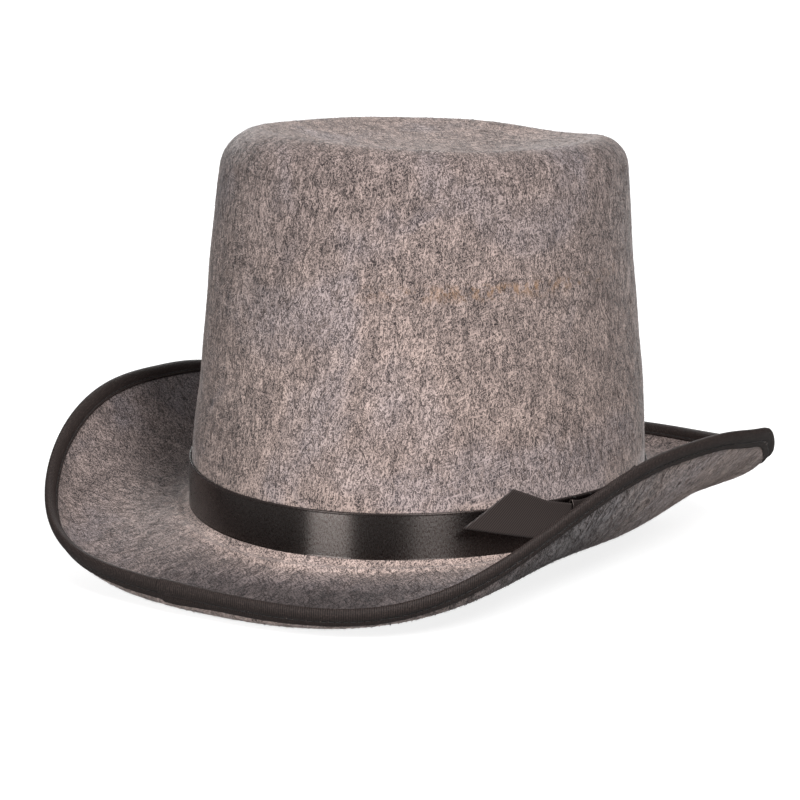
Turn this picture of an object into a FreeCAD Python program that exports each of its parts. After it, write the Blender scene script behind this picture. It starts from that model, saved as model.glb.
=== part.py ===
"""Felt top hat, built from the separate pieces it is sewn together from.

Units are millimetres. +Z is up, -Y is the wearer's front, +X is the wearer's left.
The origin is the centre of the head opening, in the plane where crown and brim meet.
"""
import FreeCAD
import Part
import math
import os

doc = FreeCAD.newDocument("top_hat")
V = FreeCAD.Vector
os.makedirs("parts", exist_ok=True)

# ---------------------------------------------------------------- driving sizes
sheet = doc.addObject("Spreadsheet::Sheet", "Sizes")
SIZES = [
    ("felt", 2.2, "felt thickness"),
    ("base_half_width", 90.5, "crown outside, half width at the brim"),
    ("base_half_length", 103.3, "crown outside, half length at the brim"),
    ("tip_half_width", 79.0, "crown outside, half width at the shoulder"),
    ("tip_half_length", 90.0, "crown outside, half length at the shoulder"),
    ("waist_half_width", 86.6, "crown outside, half width at mid height"),
    ("waist_half_length", 98.9, "crown outside, half length at mid height"),
    ("waist_height", 78.0, "height of the mid section"),
    ("straight_height", 20.0, "height of the straight part behind the hat band"),
    ("crown_height", 158.0, "height of the tip's rim, mean"),
    ("tip_tilt", 4.0, "degrees the tip slopes down to the back"),
    ("tip_lean", 1.3, "degrees the tip slopes down to the wearer's right"),
    ("shoulder_radius", 14.0, "rounding between crown side and tip"),
    ("dish_radius_z", 58.0, "vertical half axis of the ellipsoid that dishes the tip"),
    ("dish_half_width", 117.0, "half axis of that ellipsoid across the hat"),
    ("dish_half_length", 137.0, "half axis of that ellipsoid along the hat"),
    ("dish_centre", 48.0, "height of its centre above the tip's rim"),
    ("brim_half_width", 137.4, "head centre to the brim edge, sideways"),
    ("brim_half_length", 154.0, "head centre to the brim edge, fore and aft"),
    ("brim_shift", -0.3, "brim edge oval set back by this much"),
    ("brim_squareness", 0.78, "exponent of the brim edge oval, 1 is an ellipse"),
    ("brim_dip", 19.5, "mean fall of the brim before it curls up, were it not curled"),
    ("band_width", 20.0, "hat band ribbon width"),
    ("ribbon", 0.5, "ribbon thickness"),
    ("wire_radius", 0.8, "brim wire radius"),
    ("fold_radius", 1.75, "outside radius of the binding's fold round the wire"),
    ("binding_outer", 8.3, "binding width on the outer face of the brim"),
    ("binding_inner", 6.3, "binding width on the upper face of the brim"),
    ("sweat_height", 32.0, "sweatband height"),
    ("sweat_thickness", 0.8, "sweatband thickness"),
    ("thread", 0.3, "sewing thread radius"),
]
for row, (alias, number, note) in enumerate(SIZES, start=1):
    sheet.set("A%d" % row, note)
    sheet.set("B%d" % row, str(number))
    sheet.setAlias("B%d" % row, alias)
doc.recompute()


def size(alias):
    """A driving size, read back from the sheet."""
    return float(sheet.get(alias))


def bind(obj, prop, formula):
    """Drive one property of an object from the sheet; names in braces are aliases."""
    obj.setExpression(prop, formula.replace("{", "Sizes.").replace("}", ""))


FELT = size("felt")
# sections round the brim: with fewer, the lofts stray from the brim's shape at the back
STATIONS = 40
# strides taken along the felt when measuring back from the edge
EDGE_STEPS = 40


# ---------------------------------------------------------------- shape of the brim
def soft_power(value, exponent):
    """Power that keeps the sign, used for the squarish brim oval."""
    return math.copysign(abs(value) ** exponent, value)


def near(t, degrees, spread):
    """Bump of height 1 round one angle of the hat, spread in radians."""
    off = (t - math.radians(degrees) + math.pi) % (2 * math.pi) - math.pi
    return math.exp(-(off / spread) ** 2)


def edge_height(t):
    """Height of the brim edge: high at the sides, low at front and back, raised at the back left."""
    saddle = 15.7 + 20.7 * math.cos(2 * t) + 7.3 * math.cos(4 * t) + 3.2 * math.sin(2 * t)
    uneven = 5.4 * math.sin(t) + 2.6 * math.cos(t) - 3.3 * math.sin(3 * t) + 0.3 * math.cos(3 * t)
    return saddle + uneven + 6.6 * near(t, 29, 0.20) + 7.0 * near(t, 55, 0.30)


def edge_spot(t):
    """Plan position of the brim edge; the back left of the oval is a little flattened."""
    power = size("brim_squareness")
    edge_x = size("brim_half_width") * soft_power(math.cos(t), power)
    edge_y = size("brim_half_length") * soft_power(math.sin(t), power) + size("brim_shift")
    return V(edge_x, edge_y, 0) * (1 - 0.028 * near(t, 36, 0.45))


def crown_spot(t):
    """Plan position of the brim's foot on the crown."""
    return V(size("base_half_width") * math.cos(t), size("base_half_length") * math.sin(t), 0)


def brim_width(t):
    """Level distance from the crown to the brim edge at one angle."""
    return (edge_spot(t) - crown_spot(t)).Length


def brim_rise(t, u):
    """Height of the brim's middle layer, u running from crown (0) to edge (1)."""
    top = edge_height(t)
    start = -FELT / 2
    dip = size("brim_dip") - 3.5 * math.sin(t) - 1.7 * math.cos(t)
    curled = start - dip * u + (top - start + dip) * u ** 8.8
    rolled = start + (top - start) * u ** (0.9 + 0.6 * (1 - math.sin(t)) ** 2)
    curl_share = math.sin(t) ** 2 * min(0.86 - 0.54 * math.sin(t), 1.0)
    return curl_share * curled + (1 - curl_share) * rolled


def brim_point(t, u):
    """Point, unit normal and outward direction of the brim's middle layer in its upright plane."""
    width = brim_width(t)
    step = 0.001
    rise = brim_rise(t, u)
    before = max(u - step, 0.0)
    slope = (brim_rise(t, u + step) - brim_rise(t, before)) / ((u + step - before) * width)
    length = math.hypot(1, slope)
    normal = (-slope / length, 1 / length)
    return (u * width, rise), normal, (1 / length, slope / length)


def off_middle(t, u, lift):
    """Point of the upright plane lifted off the brim's middle layer, square to it."""
    spot, normal, _ = brim_point(t, u)
    return (spot[0] + lift * normal[0], spot[1] + lift * normal[1])


def along_edge(t, back, lift):
    """Point in the upright plane, back from the edge along the felt, lifted off its middle."""
    if back <= 0:
        spot, normal, ahead = brim_point(t, 1.0)
        return (spot[0] - back * ahead[0] + lift * normal[0],
                spot[1] - back * ahead[1] + lift * normal[1])
    u = 1.0
    stride = back / EDGE_STEPS / brim_width(t)
    for _ in range(EDGE_STEPS):
        u -= stride * brim_point(t, u)[2][0]
    return off_middle(t, u, lift)


def plane_placement(t):
    """Placement whose x axis points out from the crown and y axis points up."""
    foot = crown_spot(t)
    out = edge_spot(t) - foot
    out.normalize()
    up = V(0, 0, 1)
    return FreeCAD.Placement(foot, FreeCAD.Rotation(out, up, out.cross(up), "XYZ"))


def smooth(points):
    """Smooth planar curve through the given points of a sketch."""
    curve = Part.BSplineCurve()
    curve.interpolate([V(x, y, 0) for x, y in points])
    return curve


def line(a, b):
    """Straight line between two points of a sketch."""
    return Part.LineSegment(V(a[0], a[1], 0), V(b[0], b[1], 0))


def section(name, t, pieces):
    """Sketch of one upright section through the brim."""
    sketch = doc.addObject("Sketcher::SketchObject", name)
    sketch.Placement = plane_placement(t)
    for piece in pieces:
        sketch.addGeometry(piece, False)
    return sketch


def ring_loft(name, sections):
    """Closed loft that runs once round the hat."""
    loft = doc.addObject("Part::Loft", name)
    loft.Sections = sections
    loft.Solid = True
    loft.Ruled = False
    loft.Closed = True
    return loft


def station_angles():
    """Angles of the sections round the brim, starting at the wearer's back."""
    return [math.pi / 2 + 2 * math.pi * i / STATIONS for i in range(STATIONS)]


# ---------------------------------------------------------------- felt body
def tip_rotation():
    """Slope of the tip: down to the back and to the wearer's right."""
    nod = FreeCAD.Rotation(V(1, 0, 0), -size("tip_tilt"))
    lean = FreeCAD.Rotation(V(0, 1, 0), -size("tip_lean"))
    return nod.multiply(lean)


def oval(name, half_width, half_length, height, inset, tilt):
    """Horizontal oval, longer fore and aft, shrunk by the inset."""
    ring = doc.addObject("Part::Ellipse", name)
    bind(ring, "MajorRadius", "%s - %s" % (half_length, inset))
    bind(ring, "MinorRadius", "%s - %s" % (half_width, inset))
    turn = FreeCAD.Rotation(V(0, 0, 1), 90)
    if tilt:
        turn = tip_rotation().multiply(turn)
    ring.Placement = FreeCAD.Placement(V(0, 0, height), turn)
    return ring


def crown_solid(name, inset, low, top_drop):
    """Crown filled solid, with rounded shoulder and dished tip."""
    rim_height = size("crown_height") - top_drop
    rings = [
        oval(name + "_foot", "{base_half_width}", "{base_half_length}", low, inset, False),
        oval(name + "_straight", "{base_half_width}", "{base_half_length}",
             size("straight_height"), inset, False),
        oval(name + "_waist", "{waist_half_width}", "{waist_half_length}",
             size("waist_height"), inset, False),
        oval(name + "_tip", "{tip_half_width}", "{tip_half_length}", rim_height, inset, True),
    ]
    loft = doc.addObject("Part::Loft", name + "_loft")
    loft.Sections = rings
    loft.Solid = True
    loft.Ruled = False
    doc.recompute()
    top_edge = 1
    highest = -1.0
    for index, edge in enumerate(loft.Shape.Edges, start=1):
        if edge.isClosed() and edge.CenterOfMass.z > highest:
            highest = edge.CenterOfMass.z
            top_edge = index
    rounded = doc.addObject("Part::Fillet", name + "_rounded")
    rounded.Base = loft
    radius = size("shoulder_radius") - top_drop
    rounded.Edges = [(top_edge, radius, radius)]
    dish = doc.addObject("Part::Ellipsoid", name + "_dish")
    bind(dish, "Radius1", "{dish_radius_z} + %s" % top_drop)
    bind(dish, "Radius2", "{dish_half_width} + %s" % top_drop)
    bind(dish, "Radius3", "{dish_half_length} + %s" % top_drop)
    centre = size("crown_height") + size("dish_centre")
    dish.Placement = FreeCAD.Placement(V(0, 0, centre), tip_rotation())
    dished = doc.addObject("Part::Cut", name + "_dished")
    dished.Base = rounded
    dished.Tool = dish
    return dished


outside = crown_solid("crown_outside", "0", -FELT, 0.0)
inside = crown_solid("crown_inside", "{felt}", -FELT - 5.0, FELT)
crown_wall = doc.addObject("Part::Cut", "crown_wall")
crown_wall.Base = outside
crown_wall.Tool = inside


# room between the felt's edge and the wire
EDGE_PLAY = 0.8


def felt_section(index, t):
    """Felt of the brim, cut through from crown to edge."""
    edge_gap = size("fold_radius") + size("wire_radius") + EDGE_PLAY
    top = [(-FELT / 2, 0.0)]
    bottom = [(-FELT / 2, -FELT)]
    for u in (0.1, 0.22, 0.36, 0.5, 0.64, 0.74):
        top.append(off_middle(t, u, FELT / 2))
        bottom.append(off_middle(t, u, -FELT / 2))
    for back in (11.0, 8.3, 6.1, 4.5, edge_gap):
        top.append(along_edge(t, back, FELT / 2))
        bottom.append(along_edge(t, back, -FELT / 2))
    return section("felt_section_%02d" % index, t, [
        smooth(top),
        line(top[-1], bottom[-1]),
        smooth(list(reversed(bottom))),
        line(bottom[0], top[0]),
    ])


brim = ring_loft("brim_felt", [felt_section(i, t) for i, t in enumerate(station_angles())])
felt_body = doc.addObject("Part::Fuse", "felt_body")
felt_body.Base = crown_wall
felt_body.Tool = brim


# ---------------------------------------------------------------- edge wire
def half_circle(t, centre, radius, lower_first):
    """Half circle round the wire's centre, on the edge side or on the felt side."""
    sign = -1.0 if lower_first else 1.0
    first = along_edge(t, centre, sign * radius)
    middle = along_edge(t, centre + sign * radius, 0.0)
    last = along_edge(t, centre, -sign * radius)
    return Part.Arc(V(first[0], first[1], 0), V(middle[0], middle[1], 0), V(last[0], last[1], 0))


def wire_section(index, t):
    """Round section of the wire, just outside the felt's edge."""
    centre = size("fold_radius")
    radius = size("wire_radius")
    return section("wire_section_%02d" % index, t, [
        half_circle(t, centre, radius, True),
        half_circle(t, centre, radius, False),
    ])


brim_wire = ring_loft("brim_wire", [wire_section(i, t) for i, t in enumerate(station_angles())])


# ---------------------------------------------------------------- brim binding
def binding_section(index, t):
    """Grosgrain strip folded round wire and felt edge, a U lying on its side."""
    outer = size("fold_radius")
    inner = outer - size("ribbon")

    def face(width, lift):
        """Four points from the wire in to the flange's free edge."""
        return [along_edge(t, outer + (width - outer) * third / 3, lift) for third in range(4)]

    low_out = face(size("binding_outer"), -outer)
    low_in = face(size("binding_outer"), -inner)
    high_out = face(size("binding_inner"), outer)
    high_in = face(size("binding_inner"), inner)
    return section("binding_section_%02d" % index, t, [
        smooth(list(reversed(low_out))),
        half_circle(t, outer, outer, True),
        smooth(high_out),
        line(high_out[-1], high_in[-1]),
        smooth(list(reversed(high_in))),
        half_circle(t, outer, inner, True),
        smooth(low_in),
        line(low_in[-1], low_out[-1]),
    ])


brim_binding = ring_loft("brim_binding",
                         [binding_section(i, t) for i, t in enumerate(station_angles())])


def open_loft(name, sections):
    """Loft through a few sections, not closed into a ring."""
    loft = doc.addObject("Part::Loft", name)
    loft.Sections = sections
    loft.Solid = True
    loft.Ruled = False
    return loft


def ferrule_core(name, radius, reach):
    """Short rod along the wire at the back of the brim, reach in degrees to each side."""
    centre = size("fold_radius")
    sections = []
    for index, offset in enumerate((-reach, 0.0, reach)):
        t = math.pi / 2 + math.radians(offset)
        sections.append(section("%s_%d" % (name, index), t, [
            half_circle(t, centre, radius, True),
            half_circle(t, centre, radius, False),
        ]))
    return open_loft(name, sections)


FERRULE_RADIUS = 1.12
FERRULE_BORE = 0.9
FERRULE_REACH = 0.8
wire_joiner = doc.addObject("Part::Cut", "wire_joiner")
wire_joiner.Base = ferrule_core("ferrule_outside", FERRULE_RADIUS, FERRULE_REACH)
wire_joiner.Tool = ferrule_core("ferrule_bore", FERRULE_BORE, 1.5 * FERRULE_REACH)


# ---------------------------------------------------------------- binding stitches
def thread_ring(name, back, lift):
    """Line of sewing thread lying on the binding all round the brim."""
    radius = size("thread")
    sections = []
    for index, t in enumerate(station_angles()):
        sections.append(section("%s_%02d" % (name, index), t, [
            Part.Arc(V(*along_edge(t, back, lift - radius), 0),
                     V(*along_edge(t, back - radius, lift), 0),
                     V(*along_edge(t, back, lift + radius), 0)),
            Part.Arc(V(*along_edge(t, back, lift + radius), 0),
                     V(*along_edge(t, back + radius, lift), 0),
                     V(*along_edge(t, back, lift - radius), 0)),
        ]))
    return ring_loft(name, sections)


STITCH_BACK = 5.2
thread_lift = size("fold_radius") + size("thread") + 0.08
binding_stitches = doc.addObject("Part::Compound", "binding_stitches")
binding_stitches.Links = [
    thread_ring("thread_above", STITCH_BACK, thread_lift),
    thread_ring("thread_below", STITCH_BACK, -thread_lift),
]


# ---------------------------------------------------------------- hat band
def body_plane(body, role):
    """One of a body's own origin planes."""
    for feature in body.Origin.OriginFeatures:
        if feature.Role == role:
            return feature
    raise ValueError("no origin plane " + role)


def body_sketch(body, name, role, offset=0.0):
    """Sketch attached to one of the body's own planes."""
    sketch = body.newObject("Sketcher::SketchObject", name)
    sketch.AttachmentSupport = [(body_plane(body, role), "")]
    sketch.MapMode = "FlatFace"
    sketch.AttachmentOffset = FreeCAD.Placement(V(0, 0, offset), FreeCAD.Rotation())
    return sketch


def add_oval(sketch, half_width, half_length):
    """Full ellipse in a sketch, long axis fore and aft."""
    sketch.addGeometry(Part.Ellipse(V(0, half_length, 0), V(half_width, 0, 0), V(0, 0, 0)), False)


BAND_GAP = 0.4
BAND_FOOT = 1.0
hat_band = doc.addObject("PartDesign::Body", "hat_band")
band_sketch = body_sketch(hat_band, "band_outline", "XY_Plane", BAND_FOOT)
band_inner = BAND_GAP
band_outer = BAND_GAP + size("ribbon")
add_oval(band_sketch, size("base_half_width") + band_outer, size("base_half_length") + band_outer)
add_oval(band_sketch, size("base_half_width") + band_inner, size("base_half_length") + band_inner)
band_pad = hat_band.newObject("PartDesign::Pad", "band_pad")
band_pad.Profile = band_sketch
bind(band_pad, "Length", "{band_width}")
hat_band.Tip = band_pad

# ---------------------------------------------------------------- bow
BOW_ANGLE = math.radians(-8.0)
BOW_STANDOFF = 2.4
SHEET_RADIUS = 180.0
bow_x = (size("base_half_width") + BOW_STANDOFF) * math.cos(BOW_ANGLE)
bow_y = (size("base_half_length") + BOW_STANDOFF) * math.sin(BOW_ANGLE)
bow_spot = V(bow_x, bow_y, BAND_FOOT + size("band_width") / 2)
bow_out = V(math.cos(BOW_ANGLE) / size("base_half_width"),
            math.sin(BOW_ANGLE) / size("base_half_length"), 0)
bow_out.normalize()
bow_forward = V(bow_out.y, -bow_out.x, 0)
# x runs forward along the hat band, y up, z away from the crown
bow_frame = FreeCAD.Placement(bow_spot, FreeCAD.Rotation(bow_forward, V(0, 0, 1), bow_out, "XYZ"))


def tail(name, outline):
    """Flat ribbon end cut from a gently curved sheet that stands off the hat band."""
    outer = doc.addObject("Part::Cylinder", name + "_outer")
    inner = doc.addObject("Part::Cylinder", name + "_inner")
    outer.Radius = SHEET_RADIUS + size("ribbon")
    inner.Radius = SHEET_RADIUS
    middle = bow_spot - bow_out * (SHEET_RADIUS + size("ribbon"))
    for cylinder in (outer, inner):
        cylinder.Height = 60.0
        cylinder.Placement = FreeCAD.Placement(V(middle.x, middle.y, -10.0), FreeCAD.Rotation())
    sheet_ring = doc.addObject("Part::Cut", name + "_sheet")
    sheet_ring.Base = outer
    sheet_ring.Tool = inner
    shape = doc.addObject("Sketcher::SketchObject", name + "_outline")
    shape.Placement = bow_frame
    for index, point in enumerate(outline):
        shape.addGeometry(line(point, outline[(index + 1) % len(outline)]), False)
    block = doc.addObject("Part::Extrusion", name + "_block")
    block.Base = shape
    block.DirMode = "Normal"
    block.LengthFwd = 30.0
    block.LengthRev = 30.0
    block.Solid = True
    ribbon_end = doc.addObject("Part::Common", name)
    ribbon_end.Base = sheet_ring
    ribbon_end.Tool = block
    return ribbon_end


bow_front_tail = tail("bow_front_tail", [
    (1.0, -8.5), (29.8, -3.9), (61.7, 3.4), (38.7, 17.6), (19.6, 10.1), (1.0, 6.0)])
bow_rear_tail = tail("bow_rear_tail", [
    (-1.0, -8.5), (-28.0, -5.5), (-52.0, -1.0), (-37.0, 16.0), (-19.0, 10.0), (-1.0, 6.0)])

KNOT_LENGTH = 14.0
bow_knot = doc.addObject("PartDesign::Body", "bow_knot")
knot_sketch = body_sketch(bow_knot, "knot_section", "YZ_Plane")


def rounded_box(sketch, low, high, left, right, radius):
    """Rounded rectangle; first coordinate runs up, second away from the crown."""
    corners = [(low, left), (high, left), (high, right), (low, right)]
    centres = [(low + radius, left + radius), (high - radius, left + radius),
               (high - radius, right - radius), (low + radius, right - radius)]
    starts = (math.pi, 1.5 * math.pi, 0.0, 0.5 * math.pi)
    for index in range(4):
        centre = V(centres[index][0], centres[index][1], 0)
        circle = Part.Circle(centre, V(0, 0, 1), radius)
        quarter = Part.ArcOfCircle(circle, starts[index], starts[index] + math.pi / 2)
        sketch.addGeometry(quarter, False)
    for index in range(4):
        ahead = (index + 1) % 4
        if index % 2 == 0:
            first = (centres[index][0], corners[index][1])
            last = (centres[ahead][0], corners[ahead][1])
        else:
            first = (corners[index][0], centres[index][1])
            last = (corners[ahead][0], centres[ahead][1])
        sketch.addGeometry(line(first, last), False)


rounded_box(knot_sketch, -11.5, 9.0, -1.2, 2.2, 1.4)
rounded_box(knot_sketch, -10.9, 8.4, -0.6, 1.6, 0.8)
knot_pad = bow_knot.newObject("PartDesign::Pad", "knot_pad")
knot_pad.Profile = knot_sketch
knot_pad.Length = KNOT_LENGTH
knot_pad.Midplane = True
bow_knot.Tip = knot_pad
bow_knot.Placement = bow_frame

bow_tack_stitches = doc.addObject("Part::MultiFuse", "bow_tack_stitches")
tacks = []
for index in range(4):
    tack = doc.addObject("Part::Cylinder", "tack_%d" % index)
    bind(tack, "Radius", "{thread}")
    tack.Height = 2.6
    side = -5.0 if index % 2 == 0 else 5.0
    end = -12.0 if index < 2 else 9.5
    local = FreeCAD.Placement(V(side, end, -0.9), FreeCAD.Rotation())
    tack.Placement = bow_frame.multiply(local)
    tacks.append(tack)
bow_tack_stitches.Shapes = tacks

# ---------------------------------------------------------------- sweatband
SWEAT_FOOT = -1.0
SWEAT_TOP = SWEAT_FOOT + size("sweat_height")
TAPER = 0.9


def sweat_solid(name, inset):
    """Tapered oval plug; the sweatband is the skin between two of them."""
    rings = []
    for index, (height, taper) in enumerate(((SWEAT_FOOT, 0.0), (SWEAT_TOP, TAPER))):
        ring = doc.addObject("Part::Ellipse", "%s_%d" % (name, index))
        shrink = "{felt} - %s - %s" % (inset, taper)
        bind(ring, "MajorRadius", "{base_half_length} - " + shrink)
        bind(ring, "MinorRadius", "{base_half_width} - " + shrink)
        ring.Placement = FreeCAD.Placement(V(0, 0, height), FreeCAD.Rotation(V(0, 0, 1), 90))
        rings.append(ring)
    return open_loft(name, rings)


SWEAT_GAP = 0.35
sweatband = doc.addObject("Part::Cut", "sweatband")
sweatband.Base = sweat_solid("sweat_outside", SWEAT_GAP)
sweatband.Tool = sweat_solid("sweat_inside", SWEAT_GAP + size("sweat_thickness"))

sweat_line = doc.addObject("Part::Ellipse", "sweat_seam_line")
seam_inset = FELT + SWEAT_GAP + size("sweat_thickness") + size("thread") + 0.25
bind(sweat_line, "MajorRadius", "{base_half_length} - %s" % seam_inset)
bind(sweat_line, "MinorRadius", "{base_half_width} - %s" % seam_inset)
sweat_line.Placement = FreeCAD.Placement(V(0, 0, 2.0), FreeCAD.Rotation(V(0, 0, 1), 90))
sweat_thread = doc.addObject("Part::Circle", "sweat_seam_section")
bind(sweat_thread, "Radius", "{thread}")
sweat_thread.Placement = FreeCAD.Placement(
    V(0, size("base_half_length") - seam_inset, 2.0), FreeCAD.Rotation(V(0, 1, 0), 90))
sweatband_stitches = doc.addObject("Part::Sweep", "sweatband_stitches")
sweatband_stitches.Sections = [sweat_thread]
sweatband_stitches.Spine = (sweat_line, ["Edge1"])
sweatband_stitches.Solid = True
sweatband_stitches.Frenet = True

# ---------------------------------------------------------------- size label
TAG_WIDTH = 14.0
TAG_HEIGHT = 20.0
TAG_THICKNESS = 0.4
size_tag = doc.addObject("PartDesign::Body", "size_tag")
tag_sketch = body_sketch(size_tag, "tag_outline", "XZ_Plane")
tag_points = [(-TAG_WIDTH / 2, 0), (TAG_WIDTH / 2, 0),
              (TAG_WIDTH / 2, TAG_HEIGHT), (-TAG_WIDTH / 2, TAG_HEIGHT)]
for index in range(4):
    tag_sketch.addGeometry(line(tag_points[index], tag_points[(index + 1) % 4]), False)
tag_pad = size_tag.newObject("PartDesign::Pad", "tag_pad")
tag_pad.Profile = tag_sketch
tag_pad.Length = TAG_THICKNESS
tag_pad.Midplane = True
size_tag.Tip = tag_pad
tag_depth = size("base_half_length") - FELT - SWEAT_GAP - size("sweat_thickness") - 1.2
size_tag.Placement = FreeCAD.Placement(V(0, tag_depth, 5.0), FreeCAD.Rotation(V(1, 0, 0), 1.6))

# ---------------------------------------------------------------- check and write
NODES = {
    "felt_body": felt_body,
    "brim_wire": brim_wire,
    "wire_joiner": wire_joiner,
    "brim_binding": brim_binding,
    "binding_stitches": binding_stitches,
    "hat_band": hat_band,
    "bow_front_tail": bow_front_tail,
    "bow_rear_tail": bow_rear_tail,
    "bow_knot": bow_knot,
    "bow_tack_stitches": bow_tack_stitches,
    "sweatband": sweatband,
    "sweatband_stitches": sweatband_stitches,
    "size_tag": size_tag,
}
for name, obj in NODES.items():
    obj.Label = name
doc.recompute()
for obj in doc.Objects:
    bad = [word for word in obj.State if word in ("Invalid", "Error")]
    if bad:
        raise RuntimeError("%s is %s" % (obj.Name, bad))
for name, obj in NODES.items():
    if obj.Shape.isNull() or not obj.Shape.isValid():
        raise RuntimeError(name + " has no valid shape")
    box = obj.Shape.optimalBoundingBox(False)
    print("%-20s volume %9.1f solids %d x %.1f..%.1f y %.1f..%.1f z %.1f..%.1f" % (
        name, obj.Shape.Volume, len(obj.Shape.Solids),
        box.XMin, box.XMax, box.YMin, box.YMax, box.ZMin, box.ZMax))
    obj.Shape.exportStep("parts/%s.step" % name)
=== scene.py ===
"""Looks of the felt top hat: felt, ribbons and threads built in mesh code around the CAD frame.

Lengths in this script are millimetres until a mesh is made, angles are radians.
-Y is the wearer's front, +X the wearer's left, and the angle t runs round the hat from +X to +Y.
"""

import math

import bpy
import numpy as np
from mathutils import Matrix, Vector


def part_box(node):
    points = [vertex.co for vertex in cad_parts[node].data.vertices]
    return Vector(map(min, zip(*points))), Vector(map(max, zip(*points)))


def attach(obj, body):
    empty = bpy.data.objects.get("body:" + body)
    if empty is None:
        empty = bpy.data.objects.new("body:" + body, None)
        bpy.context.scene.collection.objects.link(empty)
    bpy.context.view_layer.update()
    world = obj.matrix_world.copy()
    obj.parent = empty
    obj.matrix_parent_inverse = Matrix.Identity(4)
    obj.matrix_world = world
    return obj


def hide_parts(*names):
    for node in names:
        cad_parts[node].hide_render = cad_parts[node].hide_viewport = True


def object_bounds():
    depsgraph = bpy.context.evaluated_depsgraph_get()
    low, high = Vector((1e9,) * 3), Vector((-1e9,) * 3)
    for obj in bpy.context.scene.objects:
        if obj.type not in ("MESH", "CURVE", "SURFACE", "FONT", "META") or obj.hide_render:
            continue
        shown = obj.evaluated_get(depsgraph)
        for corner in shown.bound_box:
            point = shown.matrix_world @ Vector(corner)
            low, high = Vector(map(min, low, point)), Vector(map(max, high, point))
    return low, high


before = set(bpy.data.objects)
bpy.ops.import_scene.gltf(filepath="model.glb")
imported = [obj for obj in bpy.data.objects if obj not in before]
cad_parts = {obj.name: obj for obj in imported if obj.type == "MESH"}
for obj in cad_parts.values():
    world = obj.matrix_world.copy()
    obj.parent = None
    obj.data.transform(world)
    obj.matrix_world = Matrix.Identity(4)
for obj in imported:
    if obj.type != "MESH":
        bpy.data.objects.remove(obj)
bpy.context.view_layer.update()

METRE = 0.001
TURN = 2 * math.pi
rng = np.random.default_rng(7)


# ------------------------------------------------------------------ sizes read from the frame
def half_size(node, axis):
    """Half of a CAD node's extent along an axis, in millimetres."""
    low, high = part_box(node)
    return (high[axis] - low[axis]) / 2 / METRE


def middle(node, axis):
    """Middle of a CAD node along an axis, in millimetres."""
    low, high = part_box(node)
    return (high[axis] + low[axis]) / 2 / METRE


FELT = 2.2
RIBBON = 0.5
BAND_STANDOFF = 0.9
BASE_X = half_size("hat_band", 0) - BAND_STANDOFF
BASE_Y = half_size("hat_band", 1) - BAND_STANDOFF
BAND_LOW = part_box("hat_band")[0][2] / METRE
BAND_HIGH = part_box("hat_band")[1][2] / METRE
BAND_WIDTH = BAND_HIGH - BAND_LOW
TIP_SCALE = 0.873
CROWN_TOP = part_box("felt_body")[1][2] / METRE - 5.2
EDGE_X = half_size("brim_binding", 0) - 0.8
EDGE_Y = half_size("brim_binding", 1) - 0.9
EDGE_SHIFT = middle("brim_binding", 1) - 0.2
EDGE_POWER = 0.78
BRIM_DIP = 19.5
FOLD_RADIUS = 1.75


# ------------------------------------------------------------------ shape of the hat
def soft_power(value, exponent):
    """Power that keeps the sign."""
    return np.sign(value) * np.abs(value) ** exponent


def near(t, degrees, spread):
    """Bump of height 1 round one angle of the hat, spread in radians."""
    off = (t - math.radians(degrees) + math.pi) % TURN - math.pi
    return np.exp(-(off / spread) ** 2)


def edge_height(t):
    """Height of the brim edge: high at the sides, low at front and back, raised at the back left."""
    saddle = 15.7 + 20.7 * np.cos(2 * t) + 7.3 * np.cos(4 * t) + 3.2 * np.sin(2 * t)
    uneven = 5.4 * np.sin(t) + 2.6 * np.cos(t) - 3.3 * np.sin(3 * t) + 0.3 * np.cos(3 * t)
    return saddle + uneven + 6.6 * near(t, 29, 0.20) + 7.0 * near(t, 55, 0.30)


def edge_oval(t):
    """Squarish oval of the brim edge seen from above, flattened at the back left."""
    trim = 1 - 0.028 * near(t, 36, 0.45)
    return np.stack([EDGE_X * soft_power(np.cos(t), EDGE_POWER) * trim,
                     (EDGE_Y * soft_power(np.sin(t), EDGE_POWER) + EDGE_SHIFT) * trim], -1)


def base_lift(t):
    """Height of the crown's foot: up at the wearer's right, down at front and back."""
    return 1.6 * np.cos(2 * t) - 2.0 * np.cos(t)


def brim_frame(t):
    """Foot on the crown, outward unit vector and width of the brim, for an array of angles."""
    foot = np.stack([BASE_X * np.cos(t), BASE_Y * np.sin(t)], -1)
    out = edge_oval(t) - foot
    width = np.linalg.norm(out, axis=-1)
    return foot, out / width[..., None], width


def brim_rise(t, u):
    """Height of the felt's middle layer, u from the crown (0) to the edge (1)."""
    start = base_lift(t) - FELT / 2
    top = edge_height(t)
    dip = BRIM_DIP - 3.5 * np.sin(t) - 1.7 * np.cos(t)
    curled = start - dip * u + (top - start + dip) * u ** 8.8
    rolled = start + (top - start) * u ** (0.9 + 0.6 * (1 - np.sin(t)) ** 2)
    curl_share = np.sin(t) ** 2 * np.minimum(0.86 - 0.54 * np.sin(t), 1.0)
    return curl_share * curled + (1 - curl_share) * rolled


def brim_point(t, u):
    """Position in the upright plane and unit tangent of the felt's middle layer."""
    width = brim_frame(t)[2]
    step = 0.002
    before = np.maximum(u - step, 0.0)
    after = u + step
    slope = (brim_rise(t, after) - brim_rise(t, before)) / ((after - before) * width)
    length = np.hypot(1.0, slope)
    return np.stack([u * width, brim_rise(t, u)], -1), np.stack([1 / length, slope / length], -1)


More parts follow.
